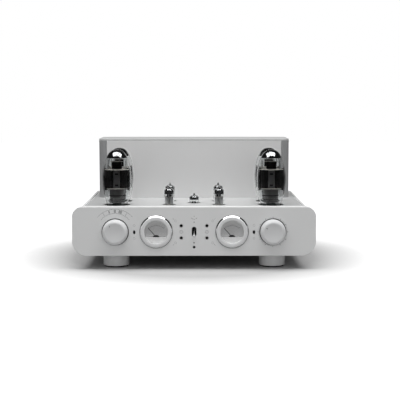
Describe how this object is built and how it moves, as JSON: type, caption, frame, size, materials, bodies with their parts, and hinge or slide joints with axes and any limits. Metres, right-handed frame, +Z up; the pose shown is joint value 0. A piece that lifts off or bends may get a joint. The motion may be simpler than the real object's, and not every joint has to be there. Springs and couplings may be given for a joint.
{
  "type": "headphone amplifier",
  "caption": "Valve headphone amplifier with a thick rounded faceplate, round meters, turned knobs, plug-in valves on a flat deck and a transformer cover behind them.",
  "frame": {"origin": "on the floor, at the middle of the whole amplifier's outline", "axes": "+X to the amplifier's right as its user faces it, +Y to the rear, +Z up"},
  "size_m": [0.53, 0.419, 0.2755],
  "materials": {
    "satin_aluminium": "satin",
    "deck_aluminium": "satin",
    "knob_aluminium": "satin",
    "bright_metal": "polished",
    "plain_steel": "brushed",
    "black_plastic": "matte",
    "pad_rubber": "matte",
    "winding": "matte",
    "board_green": "satin",
    "capacitor_sleeve": "gloss",
    "valve_glass": "clear",
    "anode_black": "matt carbonised",
    "electrode_grey": "matt",
    "ceramic": "glazed ceramic",
    "dial_card": "matt",
    "lamp_lens": "clear lens",
    "gilt_contact": "polished"
  },
  "bodies": {
    "chassis": {"faceplate": "satin_aluminium", "sub_panel": "plain_steel", "top_deck": "deck_aluminium", "side_panel_left": "satin_aluminium", "side_panel_right": "satin_aluminium", "bottom_plate": "plain_steel", "rear_panel": "satin_aluminium", "feet": "satin_aluminium", "foot_pads": "pad_rubber", "cover_front": "satin_aluminium", "cover_rear": "satin_aluminium", "cover_sides": "satin_aluminium", "cover_corner_posts": "satin_aluminium", "cover_top": "satin_aluminium", "power_transformer_core": "plain_steel", "power_transformer_coil": "winding", "output_transformer_cores": "plain_steel", "output_transformer_coils": "winding", "choke": "plain_steel", "main_board": "board_green", "filter_capacitors": "capacitor_sleeve", "power_valve_glass_front_left": "valve_glass", "power_valve_glass_front_right": "valve_glass", "power_valve_glass_back_left": "valve_glass", "power_valve_glass_back_right": "valve_glass", "power_valve_electrodes": "anode_black", "power_valve_bases": "black_plastic", "power_valve_sockets": "ceramic", "small_valve_glass_front_left": "valve_glass", "small_valve_glass_front_right": "valve_glass", "small_valve_glass_back_left": "valve_glass", "small_valve_glass_back_right": "valve_glass", "small_valve_glass_middle": "valve_glass", "small_valve_electrodes": "electrode_grey", "small_valve_sockets": "ceramic", "meter_bezel_left": "bright_metal", "meter_bezel_right": "bright_metal", "meter_glasses": "valve_glass", "meter_dials": "dial_card", "meter_movements": "black_plastic", "selector_switch": "plain_steel", "volume_control": "plain_steel", "toggle_switches": "black_plastic", "headphone_sockets": "black_plastic", "power_lamp": "lamp_lens", "remote_window": "black_plastic", "power_inlet": "black_plastic", "mains_switch_body": "black_plastic", "input_sockets": "gilt_contact", "case_screws": "plain_steel"},
    "selector": {"selector_knob": "knob_aluminium", "selector_shaft": "plain_steel"},
    "volume": {"volume_knob": "knob_aluminium", "volume_shaft": "plain_steel"},
    "left_toggle": {"toggle_left": "black_plastic"},
    "right_toggle": {"toggle_right": "black_plastic"},
    "lever": {"output_lever": "bright_metal"},
    "left_needle": {"meter_needle_left": "anode_black"},
    "right_needle": {"meter_needle_right": "anode_black"},
    "rocker": {"mains_rocker": "black_plastic"}
  },
  "joints": [
    {"name": "selector_turn", "type": "hinge", "parent": "chassis", "child": "selector", "pos_m": [-0.171, -0.1895, 0.0825], "axis": [0, 1, 0], "range_deg": [0, 96]},
    {"name": "volume_turn", "type": "hinge", "parent": "chassis", "child": "volume", "pos_m": [0.171, -0.1895, 0.0825], "axis": [0, 1, 0], "range_deg": [-87, 213]},
    {"name": "left_toggle_flick", "type": "hinge", "parent": "chassis", "child": "left_toggle", "pos_m": [-0.13, -0.1755, 0.0825], "axis": [-1, 0, 0], "range_deg": [0, 18]},
    {"name": "right_toggle_flick", "type": "hinge", "parent": "chassis", "child": "right_toggle", "pos_m": [0.13, -0.1755, 0.0825], "axis": [-1, 0, 0], "range_deg": [0, 18]},
    {"name": "output_lever_flick", "type": "hinge", "parent": "chassis", "child": "lever", "pos_m": [0, -0.1625, 0.0825], "axis": [-1, 0, 0], "range_deg": [0, 29.8]},
    {"name": "left_needle_swing", "type": "hinge", "parent": "chassis", "child": "left_needle", "pos_m": [-0.0824, -0.1863, 0.0707], "axis": [0, 1, 0], "range_deg": [0, 82], "stiffness_Nm_per_rad": 0.001},
    {"name": "right_needle_swing", "type": "hinge", "parent": "chassis", "child": "right_needle", "pos_m": [0.0824, -0.1863, 0.0707], "axis": [0, 1, 0], "range_deg": [0, 82], "stiffness_Nm_per_rad": 0.001},
    {"name": "mains_rocker_tilt", "type": "hinge", "parent": "chassis", "child": "rocker", "pos_m": [0.14, 0.1925, 0.0845], "axis": [-1, 0, 0], "range_deg": [0, 16]}
  ]
}
